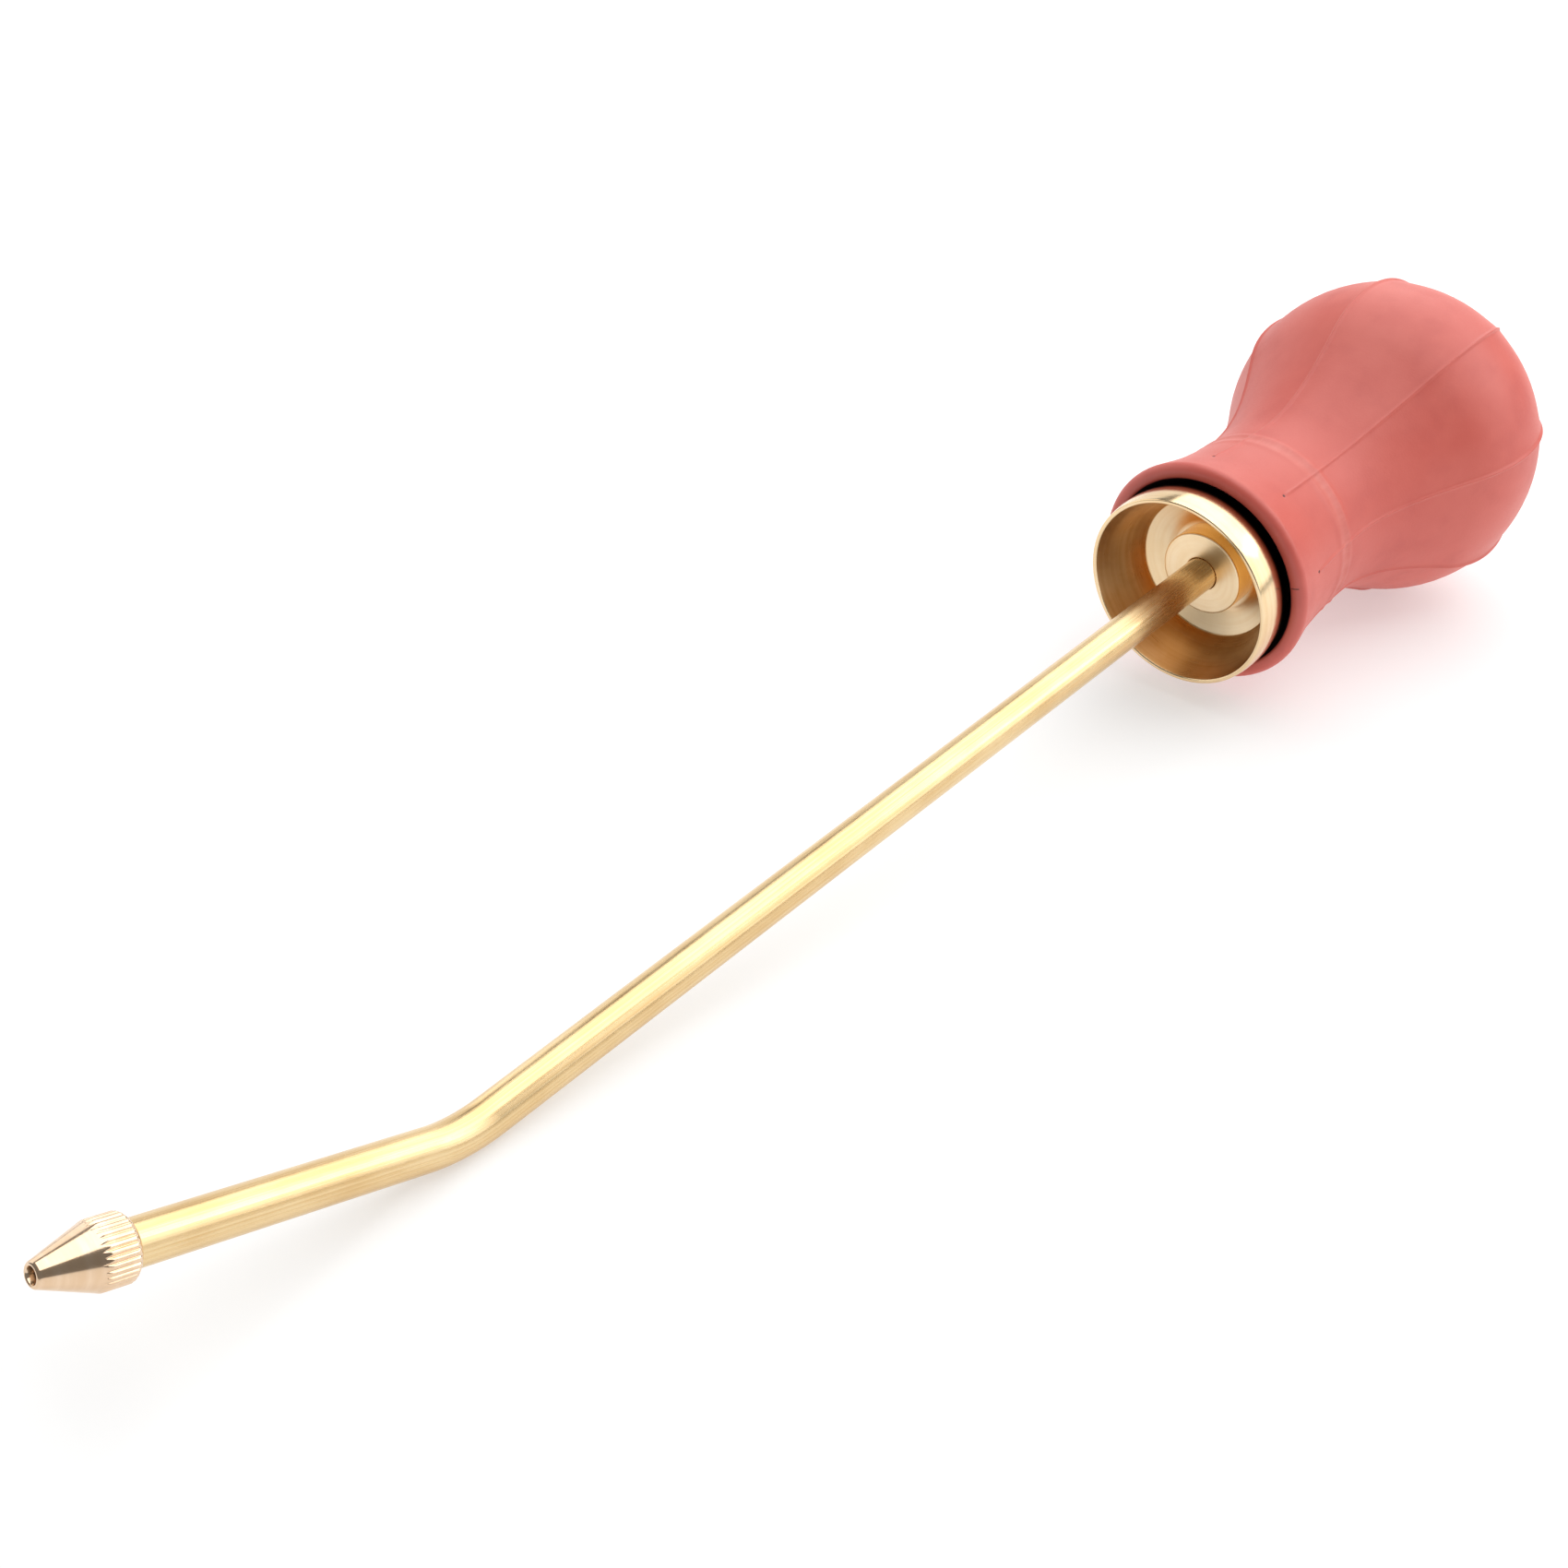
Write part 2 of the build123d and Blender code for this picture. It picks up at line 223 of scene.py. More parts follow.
def drawnBrass(name, look, seamReflectionTurn):
    # drawn tube: long streaks, a faint seam groove painted darker as a reflected dark line in the highlight,
    # and slightly darker handled patches
    finish = Finish(name)
    u, v = finish.uv()
    streaks = finish.wound(u, v, *drawing["streaks"])
    fine = finish.wound(u, v, *drawing["fine"])
    patches = finish.wound(u, v, *drawing["patches"])
    specks = finish.wound(u, v, *drawing["specks"])
    # painted reflection: a thin darker line at one turn, a faint seam groove that also stands for a dark line
    # reflected in the highlight
    seamReflectionLine = 1.0 - finish.step(abs(u - (seamReflectionTurn % 360) / 360), *drawing["seamReflectionLine"])
    shade = finish.step(streaks * 0.55 + patches * 0.45, *drawing["shade"])
    tone = finish.blendColour(shade, look["deep"], look["colour"])
    tone = finish.blendColour(seamReflectionLine * drawing["seamReflectionShade"], tone, look["deep"])
    rough = look["rough"] + (fine - 0.5) * drawing["fineGloss"] + (patches - 0.5) * drawing["patchGloss"]
    rough = rough + finish.step(specks, *drawing["speckled"]) * drawing["speckGloss"]
    height = streaks * 0.5 + fine * 0.5 - seamReflectionLine * 0.5
    normal = finish.bump(height, drawing["relief"], drawing["reliefHeight"])
    return finish.set(Base_Color=tone, Metallic=1.0, Roughness=rough, Normal=normal)


moulding = {
    "bloomScale": 38.0, "cloudScale": 130.0, "grainScale": 2400.0, "dustScale": 1100.0,
    "bloom": (0.36, 0.66), "cloud": (0.45, 0.75), "cloudShade": 0.2, "dust": (0.7, 0.78), "dustShade": 0.08,
    "dot": (0.02, 0.13), "dotShade": 0.85,
    "streakSpread": (60.0, 14.0), "streak": (0.4, 0.7), "stretched": (0.4, 2.6), "paleShare": 0.16,
    "cutAcross": (0.04, 0.15), "cutAlong": (0.65, 0.9), "cutShade": 0.9, "cutDepth": 3.0,
    "mouthFade": 0.004, "cloudGloss": 0.12, "grainGloss": 0.16, "relief": 0.22, "reliefHeight": 0.00012,
}


def mouldedRubber(name, look, marks):
    # matte rubber: bloom, moulding grain, pinholes where the ribs begin, painted shade inside the mouth
    finish = Finish(name)
    u, v = finish.uv()
    place = finish.place()
    bloom = finish.noise(place, moulding["bloomScale"], 4.0, 0.55)
    cloud = finish.noise(place, moulding["cloudScale"], 3.0, 0.5)
    grain = finish.noise(place, moulding["grainScale"], 2.0, 0.6)
    dust = finish.noise(place, moulding["dustScale"], 1.0, 0.5)
    tone = finish.blendColour(finish.step(bloom, *moulding["bloom"]), look["colour"], look["pale"])
    clouded = finish.step(cloud, *moulding["cloud"]) * moulding["cloudShade"]
    tone = finish.blendColour(clouded, tone, look["deep"])
    offRib = abs((u * marks["ribs"] - marks["ribPhase"]).math("FRACT") - 0.5) * marks["ribPitch"]
    offStart = abs(v - marks["startV"]) * uvLength
    dot = 1.0 - finish.step(offRib * offRib + offStart * offStart, *moulding["dot"])
    tone = finish.blendColour(dot * moulding["dotShade"], tone, look["shadow"])
    # pale stretch marks where the neck passes over the end of the brass
    acrossStreak, alongStreak = moulding["streakSpread"]
    streak = finish.noise(finish.spread(u * acrossStreak, v * alongStreak, 0.0), 1.0, 3.0, 0.6)
    onRing = 1.0 - finish.step(abs(v - marks["ringV"]) * uvLength, *moulding["stretched"])
    paled = moulding["paleShare"] + finish.step(streak, *moulding["streak"]) * moulding["paleShare"]
    tone = finish.blendColour(onRing * paled, tone, look["bloomed"])
    # small cut across the lip, on both sides of the place where v starts again
    offCut = abs(u - marks["cutU"]) * marks["lipGirth"]
    wrapped = v + (v < marks["totalV"] / 2) * marks["totalV"]
    alongCut = abs(wrapped - marks["totalV"]) * uvLength
    cut = 1.0 - finish.step(offCut, *moulding["cutAcross"])
    cut = cut * (1.0 - finish.step(alongCut, *moulding["cutAlong"]))
    tone = finish.blendColour(cut * moulding["cutShade"], tone, look["shadow"])
    # painted shade: past the lip the inside of the mouth is coloured near black, the shade of the gap between
    # rubber and cup
    outside = finish.step(v, marks["mouthV"] - moulding["mouthFade"], marks["mouthV"])
    inside = (1.0 - outside) * (v > marks["poleV"])
    tone = finish.blendColour(inside, tone, look["shadow"])
    dusted = finish.step(dust, *moulding["dust"]) * moulding["dustShade"]
    tone = finish.blendColour(dusted, tone, look["pale"])
    rough = look["rough"] + (cloud - 0.5) * moulding["cloudGloss"] + (grain - 0.5) * moulding["grainGloss"]
    height = grain * 0.7 + cloud * 0.3 - cut * moulding["cutDepth"]
    normal = finish.bump(height, moulding["relief"], moulding["reliefHeight"])
    return finish.set(Base_Color=tone, Roughness=rough, Normal=normal, Specular_IOR_Level=look["gloss"])


def plainSeal(name, colour, worn, roughness):
    # small hidden seals and gaskets: mottled colour and a soft grain
    finish = Finish(name)
    place = finish.place()
    mottle = finish.noise(place, 420.0, 4.0, 0.6)
    grain = finish.noise(place, 3000.0, 2.0, 0.5)
    tone = finish.blendColour(finish.step(mottle, 0.4, 0.7), colour, worn)
    rough = roughness + (grain - 0.5) * 0.2
    return finish.set(Base_Color=tone, Roughness=rough, Normal=finish.bump(grain, 0.3, 0.0001))


def machinedMetal(name, colour, deep, roughness):
    # small CAD pieces with no outline to follow: tooling marks from their own place
    finish = Finish(name)
    place = finish.place()
    along = {"Vector": place, "Scale": (2600.0, 300.0, 300.0)}
    marks = finish.noise(finish.node("ShaderNodeMapping", None, along), 1.0, 3.0, 0.6)
    stain = finish.noise(place, 260.0, 4.0, 0.6)
    tone = finish.blendColour(finish.step(stain, 0.38, 0.68), colour, deep)
    rough = roughness + (marks - 0.5) * 0.2
    return finish.set(Base_Color=tone, Metallic=1.0, Roughness=rough, Normal=finish.bump(marks, 0.2, 0.00005))


def putInScene(name, data):
    thing = bpy.data.objects.new(name, data)
    bpy.context.scene.collection.objects.link(thing)
    return thing


def hump(distance, width):
    return math.exp(-((distance / width) ** 2))


def ease(value, low, high):
    t = max(0.0, min(1.0, (value - low) / (high - low)))
    return t * t * (3 - 2 * t)


def softLesser(a, b, width):
    # the lesser of two sizes with the corner between them eased
    h = max(0.0, min(1.0, 0.5 + 0.5 * (b - a) / width))
    return b * (1 - h) + a * h - width * h * (1 - h)


def evenTurns(count):
    return [fullTurn * step / count for step in range(count)]


def splinePoints(start, startAim, end, endAim, count):
    # one cubic with chosen directions at both ends
    a, d = Vector(start), Vector(end)
    gap = (d - a).length
    b = a + Vector(startAim).normalized() * gap / 3
    c = d - Vector(endAim).normalized() * gap / 3
    points = []
    for step in range(count + 1):
        t = step / count
        s = 1 - t
        points.append(a * s ** 3 + b * (3 * s * s * t) + c * (3 * s * t * t) + d * t ** 3)
    return points


def arcThrough(a, b, c, count):
    # points on the circle through three points
    ax, ay, bx, by, cx, cy = *a, *b, *c
    aa, bb, cc = ax**2 + ay**2, bx**2 + by**2, cx**2 + cy**2
    d = 2 * (ax * (by - cy) + bx * (cy - ay) + cx * (ay - by))
    midX = (aa * (by - cy) + bb * (cy - ay) + cc * (ay - by)) / d
    midY = (aa * (cx - bx) + bb * (ax - cx) + cc * (bx - ax)) / d
    radius = math.hypot(ax - midX, ay - midY)
    first = math.atan2(ay - midY, ax - midX)
    last = math.atan2(cy - midY, cx - midX)
    angles = [first + (last - first) * k / count for k in range(count + 1)]
    return [(midX + radius * math.cos(angle), midY + radius * math.sin(angle)) for angle in angles]


def roundOff(points, steps=5):
    # (x, radius, corner) -> outline with each corner eased by a short curve
    outline = []
    count = len(points)
    for index, (x, radius, corner) in enumerate(points):
        here = Vector((x, radius))
        if corner <= 0:
            outline.append(here)
            continue
        before = Vector(points[index - 1][:2])
        after = Vector(points[(index + 1) % count][:2])
        # never past the middle of a side, so that two corners can share it
        back = min(corner, (before - here).length * 0.48)
        ahead = min(corner, (after - here).length * 0.48)
        start = here + (before - here).normalized() * back
        end = here + (after - here).normalized() * ahead
        for step in range(steps + 1):
            t = step / steps
            outline.append(start * (1 - t) ** 2 + here * (2 * t * (1 - t)) + end * t ** 2)
    return outline


def skin(name, rings, lengths, turns, material):
    # rings of points joined into a closed skin, with u round each ring and v along the rings
    around = len(turns)
    shares = [turn / fullTurn for turn in turns] + [1.0 + turns[0] / fullTurn]
    faces = []
    places = []
    for row in range(len(rings)):
        nextRow = (row + 1) % len(rings)
        v0, v1 = lengths[row] / uvLength, lengths[row + 1] / uvLength
        for column in range(around):
            nextColumn = (column + 1) % around
            faces.append((
                row * around + column,
                row * around + nextColumn,
                nextRow * around + nextColumn,
                nextRow * around + column,
            ))
            u0, u1 = shares[column], shares[column + 1]
            places += [(u0, v0), (u1, v0), (u1, v1), (u0, v1)]
    mesh = bpy.data.meshes.new(name)
    mesh.from_pydata([point for ring in rings for point in ring], [], faces)
    layer = mesh.uv_layers.new(name="UVMap")
    for loop, place in zip(layer.data, places):
        loop.uv = place
    mesh.shade_smooth()
    mesh.validate()
    mesh.materials.append(material)
    work = bmesh.new()
    work.from_mesh(mesh)
    bmesh.ops.recalc_face_normals(work, faces=work.faces)
    work.to_mesh(mesh)
    work.free()
    return putInScene(name, mesh)


def lathe(name, line, outline, turns, material, radiusAt=None):
    # closed outline in mm turned round a line; radiusAt(index, x, radius, turn) may reshape it
    rings = []
    lengths = [0.0]
    for index, (x, radius) in enumerate(outline):
        reach = [radiusAt(index, x, radius, turn) if radiusAt else radius for turn in turns]
        rings.append([onLine(line, x, out, turn) for out, turn in zip(reach, turns)])
        nextX, nextRadius = outline[(index + 1) % len(outline)]
        lengths.append(lengths[-1] + math.hypot(nextX - x, nextRadius - radius))
    return skin(name, rings, lengths, turns, material)


def weighNormals(piece):
    modifier = piece.modifiers.new("even shading", "WEIGHTED_NORMAL")
    modifier.weight = 60
    modifier.keep_sharp = True


bulb = {
    "radius": 30.9, "halfLength": 27.6, "centre": -71.2, "wall": 2.6, "joinsAt": 63.0,
    "poleFlat": 6.6, "poleHole": 4.25,
    "waist": (-33.0, 18.5), "neckMid": (-19.0, 19.6), "neckMidAim": (-0.985, -0.14),
    "mouth": -7.9, "mouthRadius": 19.15, "throat": -13.4, "boreRadius": 15.93, "boreBack": -29.4,
    "lipOuter": 21.72, "lipRound": 1.5, "lipSweep": 100.0, "lipAim": (-0.97, -0.24),
    "ribs": 8, "ribTurn": 190.0, "ribStart": -16.4, "ridge": 0.46, "ridgeWidth": 0.3, "neckRidge": 0.62,
    "ribFadeIn": (-0.2, 1.6), "ribFadeOut": 13.0, "poleRidge": 0.25,
    # degrees off a rib where the mesh has a line: close together on the rib, wider away from it
    "fan": (0, 0.3, 0.6, 0.9, 1.3, 1.8, 2.5, 3.4, 4.6, 6.2, 8.2, 10.8, 14.0, 18.0),
    "swell": 0.26, "swellWidth": 2.0, "fullRadius": (19.0, 30.0), "fullFrom": (34.0, 52.0),
    "pitDepth": 0.2, "pitWidth": 0.3, "pitAhead": 0.3,
    "neckRing": -28.6, "neckRingHeight": 0.2, "neckRingWidth": 0.7, "foldGap": 2.9, "foldShare": 0.6,
    "plainFrom": -9.5, "squashFrom": -31.0, "cutTurn": -78.5,
    "lipSteps": 8, "neckSteps": 40, "outsideSteps": (36, 60), "insideSteps": (14, 22),
    "look": {
        "colour": rgb(208, 91, 78), "pale": rgb(216, 103, 90), "deep": rgb(178, 64, 58),
        "bloomed": rgb(230, 150, 138), "shadow": rgb(34, 14, 13), "rough": 0.46, "gloss": 0.62,
    },
}


def bulbLip():
    centre = Vector((bulb["mouth"] - bulb["lipRound"], bulb["lipOuter"] - bulb["lipRound"]))
    points = []
    for step in range(bulb["lipSteps"] + 1):
        angle = math.radians(bulb["lipSweep"] * step / bulb["lipSteps"])
        points.append(centre + Vector((math.cos(angle), math.sin(angle))) * bulb["lipRound"])
    return points


def bulbBack(inset, flankSteps, bodySteps):
    # waist to the flat at the far pole, moved in by inset
    longRadius = bulb["halfLength"] - inset
    wideRadius = bulb["radius"] - inset
    first = math.radians(bulb["joinsAt"])
    last = math.pi - math.asin(bulb["poleFlat"] / wideRadius)
    waist = (bulb["waist"][0], bulb["waist"][1] - inset)
    body = []
    for step in range(bodySteps + 1):
        angle = first + (last - first) * step / bodySteps
        x = bulb["centre"] + longRadius * math.cos(angle)
        body.append(Vector((x, wideRadius * math.sin(angle))))
    aim = (-longRadius * math.sin(first), wideRadius * math.cos(first))
    return splinePoints(waist, (-1, 0), body[0], aim, flankSteps)[:-1] + body


def bulbInside():
    # from the hole in the far pole along the inside and out to the mouth
    inner = bulbBack(bulb["wall"], *bulb["insideSteps"])
    mouth, throat, wide, bore = bulb["mouth"], bulb["throat"], bulb["mouthRadius"], bulb["boreRadius"]
    flare = [
        (bulb["boreBack"], bore), (throat, bore),
        ((throat + mouth) / 2, (wide + bore) / 2 + 0.15),
        (mouth - 0.5, wide - 0.12), (mouth - 0.14, wide + 0.06), (mouth, wide + 0.42),
    ]
    return [Vector((inner[-1][0], bulb["poleHole"])), *reversed(inner), *map(Vector, flare)]


def bulbTurns(ribTurns):
    turns = []
    for turn in ribTurns:
        for offset in bulb["fan"]:
            turns += [turn + math.radians(offset)] + ([turn - math.radians(offset)] if offset else [])
        turns.append(turn + math.radians(180 / bulb["ribs"]))
    return sorted(turn % fullTurn for turn in turns)


def makeBulb():
    lip = bulbLip()
    neck = splinePoints(lip[-1], bulb["lipAim"], bulb["neckMid"], bulb["neckMidAim"], bulb["neckSteps"])
    neck += splinePoints(bulb["neckMid"], bulb["neckMidAim"], bulb["waist"], (-1, 0), bulb["neckSteps"])[1:]
    outer = lip + neck[1:-1] + bulbBack(0, *bulb["outsideSteps"])
    outerCount = len(outer)
    poleX = outer[-1][0]
    outline = outer + [Vector((poleX, bulb["poleHole"]))] + bulbInside()
    ribShare = 360 / bulb["ribs"]
    ribTurns = [math.radians(bulb["ribTurn"] + ribShare * k) % fullTurn for k in range(bulb["ribs"])]

    def shape(index, x, radius, turn):
        if index >= outerCount or x > bulb["plainFrom"]:
            return radius
        off = min(abs((turn - rib + math.pi) % fullTurn - math.pi) for rib in ribTurns)
        arc = off * radius
        girth = ease(radius, *bulb["fullRadius"]) * ease(-x, *bulb["fullFrom"])
        fadeIn = ease(bulb["ribStart"] - x, *bulb["ribFadeIn"])
        fadeOut = ease(radius, bulb["poleFlat"], bulb["ribFadeOut"])
        strength = bulb["neckRidge"] + (1 - bulb["neckRidge"]) * girth
        ridge = bulb["ridge"] * strength * hump(arc, bulb["ridgeWidth"]) * fadeIn
        swell = bulb["swell"] * girth * hump(arc, bulb["swellWidth"])
        pastRing = x - bulb["neckRing"]
        ring = hump(pastRing, bulb["neckRingWidth"])
        ring += bulb["foldShare"] * hump(pastRing - bulb["foldGap"], bulb["neckRingWidth"])
        toPit = math.hypot(arc, x - bulb["ribStart"] - bulb["pitAhead"])
        pit = bulb["pitDepth"] * hump(toPit, bulb["pitWidth"])
        atPole = bulb["poleRidge"] + (1 - bulb["poleRidge"]) * fadeOut
        return radius + (ridge + swell) * atPole + ring * bulb["neckRingHeight"] - pit

    lengths = [0.0]
    for first, second in zip(outline, outline[1:]):
        lengths.append(lengths[-1] + (second - first).length)

    def lengthAt(x):
        # how far along the outside the outline first passes x
        return next(lengths[k] for k in range(len(lip), outerCount) if outline[k][0] < x)

    marks = {
        "ribs": bulb["ribs"], "ribPhase": (bulb["ribTurn"] % ribShare) / ribShare + 0.5,
        "ribPitch": fullTurn * bulb["neckMid"][1] / bulb["ribs"],
        "startV": lengthAt(bulb["ribStart"] + bulb["pitAhead"]) / uvLength,
        "ringV": lengthAt(bulb["neckRing"] + bulb["foldGap"] / 2) / uvLength,
        "cutU": (bulb["cutTurn"] % 360) / 360, "lipGirth": fullTurn * bulb["mouthRadius"],
        "totalV": (lengths[-1] + (outline[0] - outline[-1]).length) / uvLength,
        "mouthV": lengths[-2] / uvLength, "poleV": (lengths[outerCount] + 1.0) / uvLength,
    }
    material = mouldedRubber("salmonRubber", bulb["look"], marks)
    piece = lathe("bulbRubber", toolLine, outline, bulbTurns(ribTurns), material, shape)
    squashStart = onLine(toolLine, bulb["squashFrom"])
    onLine(toolLine, poleX + 1.0)
    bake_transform(piece)
    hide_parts("rubber_bulb")


makeBulb()
print("rubber bulb made")

cup = {
    "rim": 18.6, "lip": 0.7, "shoulder": (-5.0, 18.75), "barrel": (-12.6, 15.9), "barrelBack": -29.0,
    "skirt": 14.6, "floorBack": -14.9, "shankHole": 5.0, "floor": -12.9, "seat": 8.7, "cone": (-10.6, 14.0),
    "outside": {"colour": rgb(240, 214, 174), "deep": rgb(230, 198, 152), "rough": 0.17},
    "inside": {"colour": rgb(234, 198, 150), "deep": rgb(218, 176, 124), "rough": 0.3},
    "faced": {"colour": rgb(247, 224, 188), "deep": rgb(240, 212, 170), "rough": 0.33},
    # painted shade on the back of the cup's outside, where it runs into the rubber mouth
    "paintedShade": {"from": 5.2, "upTo": 32.0, "colour": rgb(40, 24, 16)},
    "insideReach": (-0.3, -0.35), "slopeFrom": -10.4, "turns": 160,
}


def makeCup():
    shoulder = arcThrough((0, cup["rim"]), cup["shoulder"], cup["barrel"], 16)
    # x, radius and how far each corner is eased
    points = [(0, cup["rim"], 0.3)] + [(x, radius, 0) for x, radius in shoulder[1:-1]]
    points += [
        (*cup["barrel"], 0.4),
        (cup["barrelBack"], cup["barrel"][1], 0.3),
        (cup["barrelBack"], cup["skirt"], 0.3),
        (cup["floorBack"], cup["skirt"], 0.5),
        (cup["floorBack"], cup["shankHole"], 0.1),
        (cup["floor"], cup["shankHole"], 0.1),
        (cup["floor"], cup["seat"], 0.5),
        (*cup["cone"], 0.25),
        (0, cup["rim"] - cup["lip"], 0.28),
    ]
    polished = turnedBrass("turnedBrass", cup["outside"], 0.8, 9.0, cup["paintedShade"])
    piece = lathe("brassCup", toolLine, roundOff(points), evenTurns(cup["turns"]), polished)
    # the bore of the cup is left satin and its floor is faced, the outside is polished
    piece.data.materials.append(turnedBrass("satinBrass", cup["inside"], 0.5, 5.0))
    piece.data.materials.append(turnedBrass("facedBrass", cup["faced"], 0.55, 9.0))
    lowest, highest = cup["floor"] + cup["insideReach"][0], cup["insideReach"][1]
    for face in piece.data.polygons:
        offset = face.center - toolLine["origin"]
        x = offset.dot(toolLine["along"]) / mm
        out = offset - toolLine["along"] * (x * mm)
        within = lowest < x < highest and out.length / mm < cup["rim"] - cup["lip"] + 0.02
        if within and (face.normal.dot(out) < 0 or x < cup["slopeFrom"]):
            face.material_index = 1 if x > cup["cone"][0] - 0.05 else 2
    weighNormals(piece)
    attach(piece, "bulb")
    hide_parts("stopper_cup")


bush = {
    "hubFace": -8.15, "hub": 8.2, "shank": 4.95, "shankBack": -22.7, "bore": 3.225, "turns": 120,
    # painted reflection: a more orange brass for the hub's side wall, standing in for light bounced between
    # the hub and the cup floor
    "side": {"colour": rgb(240, 190, 112), "deep": rgb(228, 172, 92), "rough": 0.24},
    "sideSlope": 0.6,       # faces flatter than this to the axis are the side
}


def makeBush():
    points = [
        (bush["hubFace"], bush["bore"], 0.25),
        (bush["hubFace"], bush["hub"], 0.45),
        (cup["floor"], bush["hub"], 0.1),
        (cup["floor"], bush["shank"], 0.1),
        (bush["shankBack"], bush["shank"], 0.3),
        (bush["shankBack"], bush["bore"], 0.2),
    ]
    faced = bpy.data.materials["facedBrass"]
    piece = lathe("glandBush", toolLine, roundOff(points), evenTurns(bush["turns"]), faced)
    # painted reflection: the side wall gets the more orange brass
    piece.data.materials.append(turnedBrass("hubSideReflectionBrass", bush["side"], 0.6, 9.0))
    for face in piece.data.polygons:
        if abs(face.normal.dot(toolLine["along"])) < bush["sideSlope"]:
            face.material_index = 1
    weighNormals(piece)
    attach(piece, "bulb")
    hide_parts("gland_bush")


makeCup()
makeBush()
print("cup and gland bush made")

tubing = {
    "radius": 3.175, "wall": 0.8, "edge": 0.12, "back": -26.25, "bend": 28.0, "front": 57.7,
    "flatten": 0.035, "widen": 0.6,     # the bend goes a little oval; widen is a share of flatten
    "look": {"colour": rgb(236, 210, 163), "deep": rgb(216, 181, 128), "rough": 0.27}, "seamReflectionTurn": -28.6,
    "longSteps": 40, "bendSteps": 24, "shortSteps": 12, "turns": 64,
}


def tubeStations():
    # straight, one elbow, straight; each entry is place, direction and share of the bend
    tangent = tubing["bend"] * math.tan(elbowAngle / 2)
    cornerX = elbowShift / mm
    up, along = toolLine["up"], toolLine["along"]
    stations = []
    for step in range(tubing["longSteps"] + 1):
        x = tubing["back"] + (cornerX - tangent - tubing["back"]) * step / tubing["longSteps"]
        stations.append((onLine(toolLine, x), along, 0.0))
    centre = onLine(toolLine, cornerX - tangent) + up * (tubing["bend"] * mm)
    for step in range(1, tubing["bendSteps"]):
        angle = elbowAngle * step / tubing["bendSteps"]
        outward = along * math.sin(angle) - up * math.cos(angle)
        aim = along * math.cos(angle) + up * math.sin(angle)
        bent = math.sin(math.pi * step / tubing["bendSteps"])
        stations.append((centre + outward * (tubing["bend"] * mm), aim, bent))
    for step in range(tubing["shortSteps"] + 1):
        x = tangent + (tubing["front"] - tangent) * step / tubing["shortSteps"]
        stations.append((onLine(legLine, x), legLine["along"], 0.0))
    return stations


def makeTube():
    stations = tubeStations()
    count = len(stations)
    outer = tubing["radius"]
    inner = outer - tubing["wall"]
    edge = tubing["edge"]
    # out along the outside with both ends chamfered, then back along the bore
    walk = [(0, outer - edge), *[(k, outer) for k in range(count)], (count - 1, outer - edge)]
    walk += [(count - 1, inner), *[(k, inner) for k in reversed(range(count))]]
    nudge = {1: edge, count: -edge}
    turns = evenTurns(tubing["turns"])
    rings = []
    lengths = [0.0]
    last = None
    for index, (k, radius) in enumerate(walk):
        place, aim, bent = stations[k]
        place = place + aim * (nudge.get(index, 0.0) * mm)
        rise = sideways.cross(aim).normalized()
        flat = 1 - tubing["flatten"] * bent
        wide = 1 + tubing["flatten"] * tubing["widen"] * bent
        ring = []
        for turn in turns:
            out = rise * (math.cos(turn) * flat) + sideways * (math.sin(turn) * wide)
            ring.append(place + out * (radius * mm))
        rings.append(ring)
        if last is not None:
            # a step across the end still gets a little length, so that v always grows
            lengths.append(lengths[-1] + max((place - last).length / mm, 0.05))
        last = place
    lengths.append(lengths[-1] + tubing["wall"])
    material = drawnBrass("drawnBrass", tubing["look"], tubing["seamReflectionTurn"])
    piece = skin("bentTube", rings, lengths, turns, material)
    weighNormals(piece)
    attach(piece, "bent_tube")
    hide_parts("tube")


makeTube()
print("tube made")

tip = {
    "back": 52.7, "backInner": 3.75, "backOuter": 3.95,
    "collar": 4.55, "collarLength": 4.4, "chamfer": 0.6, "cone": 8.1, "tip": 1.65,
    "outlet": 1.15, "outletLength": 3.2, "step": 58.48, "funnel": 2.3, "bore": 3.225,
    "teeth": 32, "depth": 0.25, "groove": 0.55, "toothCrown": 0.05, "coneEase": 0.07, "rearEase": 0.1,
    "steps": 54, "turnsPerTooth": 10,
    "look": {"colour": rgb(238, 212, 184), "deep": rgb(228, 196, 162), "rough": 0.17},
    # painted shade down the bore, from the hole in the tip inwards
    "paintedShade": {"from": 18.4, "upTo": 60.0, "colour": rgb(84, 54, 38)},
}


